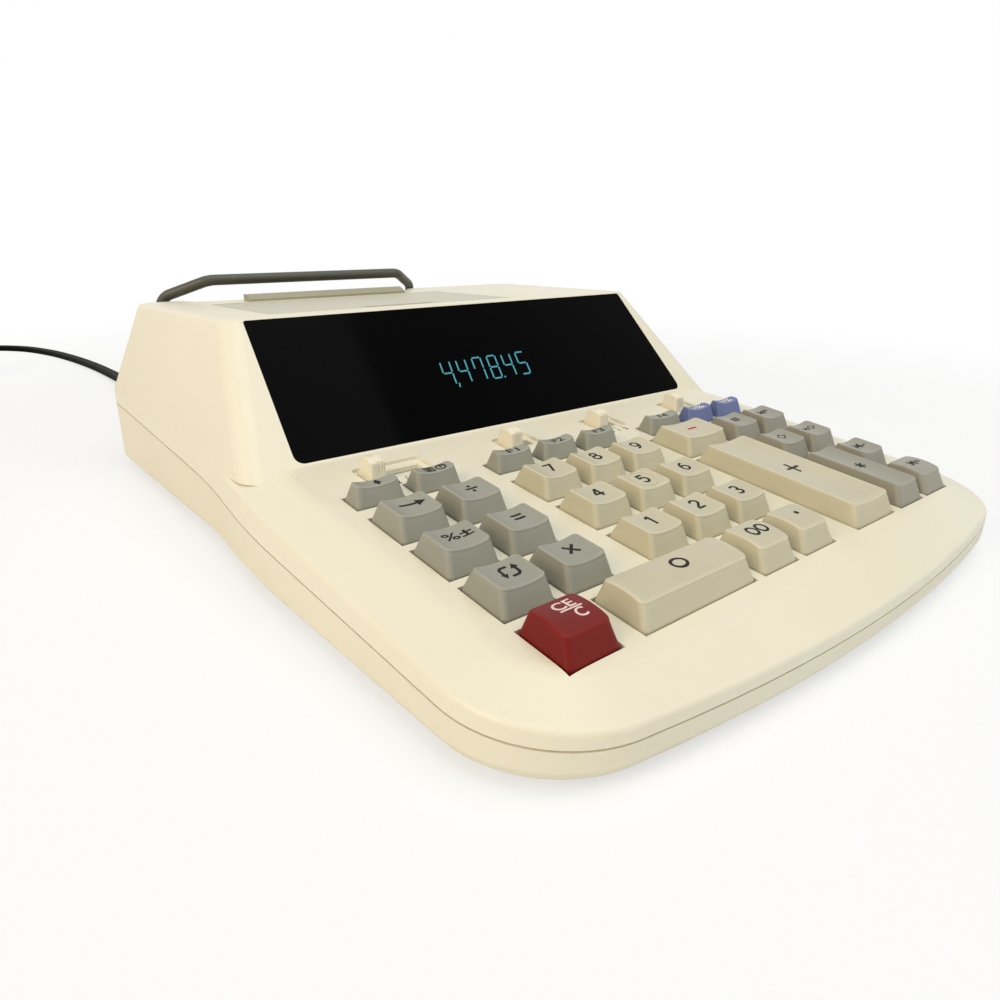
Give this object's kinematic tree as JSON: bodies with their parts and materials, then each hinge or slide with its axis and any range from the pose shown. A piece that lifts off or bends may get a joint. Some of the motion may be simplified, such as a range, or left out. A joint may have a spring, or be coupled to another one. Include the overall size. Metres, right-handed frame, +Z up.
{
  "type": "printing calculator",
  "caption": "Desktop printing calculator: a wedge case with a keyboard deck, a sloped display, a paper printer with a swing-up arm, slide switches and a mains cord.",
  "frame": {"origin": "on the table, under the middle of the length and width of the machine without its cord", "axes": "+X to the user's right, +Y to the back of the machine, +Z up"},
  "size_m": [0.3484, 0.6115, 0.0753],
  "materials": {
    "case_ivory": "fine moulded texture, warm ivory",
    "window_black": "smooth dark display filter",
    "key_beige": "satin",
    "key_grey": "satin",
    "key_warm_grey": "satin",
    "key_blue": "satin",
    "key_red": "satin",
    "knob_ivory": "satin",
    "tube_glass": "dark glass",
    "board_green": "lacquered board",
    "trim_olive": "satin, dark olive",
    "arm_olive": "satin paint, dark olive grey",
    "plated_steel": "zinc plated",
    "type_black": "moulded type",
    "roller_rubber": "ground rubber",
    "ink_felt": "inked felt",
    "gear_brass": "cut brass",
    "core_steel": "varnished laminations",
    "foot_rubber": "matt black",
    "screw_steel": "zinc plated",
    "cord_black": "soft matt sheath",
    "plug_black": "moulded"
  },
  "bodies": {
    "case": {"upper_case": "case_ivory", "lower_case": "case_ivory", "display_window": "window_black", "display_tube": "tube_glass", "main_board": "board_green", "paper_guide": "case_ivory", "tear_bar": "trim_olive", "printer_frame": "plated_steel", "transformer": "core_steel", "rubber_feet": "foot_rubber", "case_screws": "screw_steel", "power_cord": "cord_black", "cord_coil": "cord_black", "power_plug": "plug_black"},
    "key_0": {"key_0": "key_beige"},
    "key_00": {"key_00": "key_beige"},
    "key_1": {"key_1": "key_beige"},
    "key_2": {"key_2": "key_beige"},
    "key_3": {"key_3": "key_beige"},
    "key_4": {"key_4": "key_beige"},
    "key_5": {"key_5": "key_beige"},
    "key_6": {"key_6": "key_beige"},
    "key_7": {"key_7": "key_beige"},
    "key_8": {"key_8": "key_beige"},
    "key_9": {"key_9": "key_beige"},
    "key_clear": {"key_clear": "key_red"},
    "key_clock": {"key_clock": "key_grey"},
    "key_cost": {"key_cost": "key_grey"},
    "key_divide": {"key_divide": "key_grey"},
    "key_equals": {"key_equals": "key_grey"},
    "key_exchange": {"key_exchange": "key_grey"},
    "key_feed": {"key_feed": "key_grey"},
    "key_margin": {"key_margin": "key_grey"},
    "key_memory_minus": {"key_memory_minus": "key_warm_grey"},
    "key_memory_plus": {"key_memory_plus": "key_warm_grey"},
    "key_memory_subtotal": {"key_memory_subtotal": "key_warm_grey"},
    "key_memory_total": {"key_memory_total": "key_warm_grey"},
    "key_minus": {"key_minus": "key_beige"},
    "key_multiply": {"key_multiply": "key_grey"},
    "key_number": {"key_number": "key_warm_grey"},
    "key_percent": {"key_percent": "key_grey"},
    "key_plus": {"key_plus": "key_beige"},
    "key_point": {"key_point": "key_beige"},
    "key_rate": {"key_rate": "key_grey"},
    "key_sell": {"key_sell": "key_grey"},
    "key_shift": {"key_shift": "key_grey"},
    "key_subtotal": {"key_subtotal": "key_warm_grey"},
    "key_tax_minus": {"key_tax_minus": "key_blue"},
    "key_tax_plus": {"key_tax_plus": "key_blue"},
    "key_total": {"key_total": "key_warm_grey"},
    "switch_knob_1": {"switch_knob_1": "knob_ivory"},
    "switch_knob_2": {"switch_knob_2": "knob_ivory"},
    "switch_knob_3": {"switch_knob_3": "knob_ivory"},
    "switch_knob_4": {"switch_knob_4": "knob_ivory"},
    "printer_cover": {"printer_cover": "case_ivory"},
    "paper_arm": {"paper_arm": "arm_olive"},
    "print_drum": {"print_drum": "type_black"},
    "feed_roller": {"feed_roller": "roller_rubber"},
    "ink_roller": {"ink_roller": "ink_felt"},
    "motor_pinion": {"motor_pinion": "gear_brass"}
  },
  "joints": [
    {"name": "key_0_press", "type": "slide", "parent": "case", "child": "key_0", "axis": [0, 0.1072, -0.9942], "range_m": [0, 0.003], "stiffness_N_per_m": 120, "springref_m": -0.00125},
    {"name": "key_00_press", "type": "slide", "parent": "case", "child": "key_00", "axis": [0, 0.1072, -0.9942], "range_m": [0, 0.003], "stiffness_N_per_m": 120, "springref_m": -0.00125},
    {"name": "key_1_press", "type": "slide", "parent": "case", "child": "key_1", "axis": [0, 0.1072, -0.9942], "range_m": [0, 0.003], "stiffness_N_per_m": 120, "springref_m": -0.00125},
    {"name": "key_2_press", "type": "slide", "parent": "case", "child": "key_2", "axis": [0, 0.1072, -0.9942], "range_m": [0, 0.003], "stiffness_N_per_m": 120, "springref_m": -0.00125},
    {"name": "key_3_press", "type": "slide", "parent": "case", "child": "key_3", "axis": [0, 0.1072, -0.9942], "range_m": [0, 0.003], "stiffness_N_per_m": 120, "springref_m": -0.00125},
    {"name": "key_4_press", "type": "slide", "parent": "case", "child": "key_4", "axis": [0, 0.1072, -0.9942], "range_m": [0, 0.003], "stiffness_N_per_m": 120, "springref_m": -0.00125},
    {"name": "key_5_press", "type": "slide", "parent": "case", "child": "key_5", "axis": [0, 0.1072, -0.9942], "range_m": [0, 0.003], "stiffness_N_per_m": 120, "springref_m": -0.00125},
    {"name": "key_6_press", "type": "slide", "parent": "case", "child": "key_6", "axis": [0, 0.1072, -0.9942], "range_m": [0, 0.003], "stiffness_N_per_m": 120, "springref_m": -0.00125},
    {"name": "key_7_press", "type": "slide", "parent": "case", "child": "key_7", "axis": [0, 0.1072, -0.9942], "range_m": [0, 0.003], "stiffness_N_per_m": 120, "springref_m": -0.00125},
    {"name": "key_8_press", "type": "slide", "parent": "case", "child": "key_8", "axis": [0, 0.1072, -0.9942], "range_m": [0, 0.003], "stiffness_N_per_m": 120, "springref_m": -0.00125},
    {"name": "key_9_press", "type": "slide", "parent": "case", "child": "key_9", "axis": [0, 0.1072, -0.9942], "range_m": [0, 0.003], "stiffness_N_per_m": 120, "springref_m": -0.00125},
    {"name": "key_clear_press", "type": "slide", "parent": "case", "child": "key_clear", "axis": [0, 0.1072, -0.9942], "range_m": [0, 0.003], "stiffness_N_per_m": 120, "springref_m": -0.00125},
    {"name": "key_clock_press", "type": "slide", "parent": "case", "child": "key_clock", "axis": [0, 0.1072, -0.9942], "range_m": [0, 0.003], "stiffness_N_per_m": 120, "springref_m": -0.00125},
    {"name": "key_cost_press", "type": "slide", "parent": "case", "child": "key_cost", "axis": [0, 0.1072, -0.9942], "range_m": [0, 0.003], "stiffness_N_per_m": 120, "springref_m": -0.00125},
    {"name": "key_divide_press", "type": "slide", "parent": "case", "child": "key_divide", "axis": [0, 0.1072, -0.9942], "range_m": [0, 0.003], "stiffness_N_per_m": 120, "springref_m": -0.00125},
    {"name": "key_equals_press", "type": "slide", "parent": "case", "child": "key_equals", "axis": [0, 0.1072, -0.9942], "range_m": [0, 0.003], "stiffness_N_per_m": 120, "springref_m": -0.00125},
    {"name": "key_exchange_press", "type": "slide", "parent": "case", "child": "key_exchange", "axis": [0, 0.1072, -0.9942], "range_m": [0, 0.003], "stiffness_N_per_m": 120, "springref_m": -0.00125},
    {"name": "key_feed_press", "type": "slide", "parent": "case", "child": "key_feed", "axis": [0, 0.1072, -0.9942], "range_m": [0, 0.003], "stiffness_N_per_m": 120, "springref_m": -0.00125},
    {"name": "key_margin_press", "type": "slide", "parent": "case", "child": "key_margin", "axis": [0, 0.1072, -0.9942], "range_m": [0, 0.003], "stiffness_N_per_m": 120, "springref_m": -0.00125},
    {"name": "key_memory_minus_press", "type": "slide", "parent": "case", "child": "key_memory_minus", "axis": [0, 0.1072, -0.9942], "range_m": [0, 0.003], "stiffness_N_per_m": 120, "springref_m": -0.00125},
    {"name": "key_memory_plus_press", "type": "slide", "parent": "case", "child": "key_memory_plus", "axis": [0, 0.1072, -0.9942], "range_m": [0, 0.003], "stiffness_N_per_m": 120, "springref_m": -0.00125},
    {"name": "key_memory_subtotal_press", "type": "slide", "parent": "case", "child": "key_memory_subtotal", "axis": [0, 0.1072, -0.9942], "range_m": [0, 0.003], "stiffness_N_per_m": 120, "springref_m": -0.00125},
    {"name": "key_memory_total_press", "type": "slide", "parent": "case", "child": "key_memory_total", "axis": [0, 0.1072, -0.9942], "range_m": [0, 0.003], "stiffness_N_per_m": 120, "springref_m": -0.00125},
    {"name": "key_minus_press", "type": "slide", "parent": "case", "child": "key_minus", "axis": [0, 0.1072, -0.9942], "range_m": [0, 0.003], "stiffness_N_per_m": 120, "springref_m": -0.00125},
    {"name": "key_multiply_press", "type": "slide", "parent": "case", "child": "key_multiply", "axis": [0, 0.1072, -0.9942], "range_m": [0, 0.003], "stiffness_N_per_m": 120, "springref_m": -0.00125},
    {"name": "key_number_press", "type": "slide", "parent": "case", "child": "key_number", "axis": [0, 0.1072, -0.9942], "range_m": [0, 0.003], "stiffness_N_per_m": 120, "springref_m": -0.00125},
    {"name": "key_percent_press", "type": "slide", "parent": "case", "child": "key_percent", "axis": [0, 0.1072, -0.9942], "range_m": [0, 0.003], "stiffness_N_per_m": 120, "springref_m": -0.00125},
    {"name": "key_plus_press", "type": "slide", "parent": "case", "child": "key_plus", "axis": [0, 0.1072, -0.9942], "range_m": [0, 0.003], "stiffness_N_per_m": 120, "springref_m": -0.00125},
    {"name": "key_point_press", "type": "slide", "parent": "case", "child": "key_point", "axis": [0, 0.1072, -0.9942], "range_m": [0, 0.003], "stiffness_N_per_m": 120, "springref_m": -0.00125},
    {"name": "key_rate_press", "type": "slide", "parent": "case", "child": "key_rate", "axis": [0, 0.1072, -0.9942], "range_m": [0, 0.003], "stiffness_N_per_m": 120, "springref_m": -0.00125},
    {"name": "key_sell_press", "type": "slide", "parent": "case", "child": "key_sell", "axis": [0, 0.1072, -0.9942], "range_m": [0, 0.003], "stiffness_N_per_m": 120, "springref_m": -0.00125},
    {"name": "key_shift_press", "type": "slide", "parent": "case", "child": "key_shift", "axis": [0, 0.1072, -0.9942], "range_m": [0, 0.003], "stiffness_N_per_m": 120, "springref_m": -0.00125},
    {"name": "key_subtotal_press", "type": "slide", "parent": "case", "child": "key_subtotal", "axis": [0, 0.1072, -0.9942], "range_m": [0, 0.003], "stiffness_N_per_m": 120, "springref_m": -0.00125},
    {"name": "key_tax_minus_press", "type": "slide", "parent": "case", "child": "key_tax_minus", "axis": [0, 0.1072, -0.9942], "range_m": [0, 0.003], "stiffness_N_per_m": 120, "springref_m": -0.00125},
    {"name": "key_tax_plus_press", "type": "slide", "parent": "case", "child": "key_tax_plus", "axis": [0, 0.1072, -0.9942], "range_m": [0, 0.003], "stiffness_N_per_m": 120, "springref_m": -0.00125},
    {"name": "key_total_press", "type": "slide", "parent": "case", "child": "key_total", "axis": [0, 0.1072, -0.9942], "range_m": [0, 0.003], "stiffness_N_per_m": 120, "springref_m": -0.00125},
    {"name": "switch_1_slide", "type": "slide", "parent": "case", "child": "switch_knob_1", "axis": [1, 0, 0], "range_m": [0, 0.015]},
    {"name": "switch_2_slide", "type": "slide", "parent": "case", "child": "switch_knob_2", "axis": [1, 0, 0], "range_m": [0, 0.007]},
    {"name": "switch_3_slide", "type": "slide", "parent": "case", "child": "switch_knob_3", "axis": [1, 0, 0], "range_m": [0, 0.007]},
    {"name": "switch_4_slide", "type": "slide", "parent": "case", "child": "switch_knob_4", "axis": [1, 0, 0], "range_m": [0, 0.007]},
    {"name": "cover_hinge", "type": "hinge", "parent": "case", "child": "printer_cover", "pos_m": [-0.021, 0.0904, 0.06471], "axis": [-1, 0, 0], "range_deg": [0, 80]},
    {"name": "arm_hinge", "type": "hinge", "parent": "case", "child": "paper_arm", "pos_m": [-0.021, 0.1334, 0.036], "axis": [-1, 0, 0], "range_deg": [0, 100]},
    {"name": "drum_spin", "type": "hinge", "parent": "case", "child": "print_drum", "pos_m": [-0.021, 0.086, 0.044], "axis": [1, 0, 0], "continuous": true},
    {"name": "feed_spin", "type": "hinge", "parent": "case", "child": "feed_roller", "pos_m": [-0.021, 0.10085, 0.02618], "axis": [1, 0, 0], "continuous": true},
    {"name": "ink_spin", "type": "hinge", "parent": "case", "child": "ink_roller", "pos_m": [-0.021, 0.07801, 0.05598], "axis": [1, 0, 0], "continuous": true},
    {"name": "motor_spin", "type": "hinge", "parent": "case", "child": "motor_pinion", "pos_m": [-0.021, 0.0756, 0.02599], "axis": [1, 0, 0], "continuous": true}
  ],
  "couplings": [
    {"joint": "feed_spin", "follows": "drum_spin", "ratio": -2.2222},
    {"joint": "ink_spin", "follows": "drum_spin", "ratio": -1.3333},
    {"joint": "motor_spin", "follows": "drum_spin", "ratio": -3.3333}
  ]
}
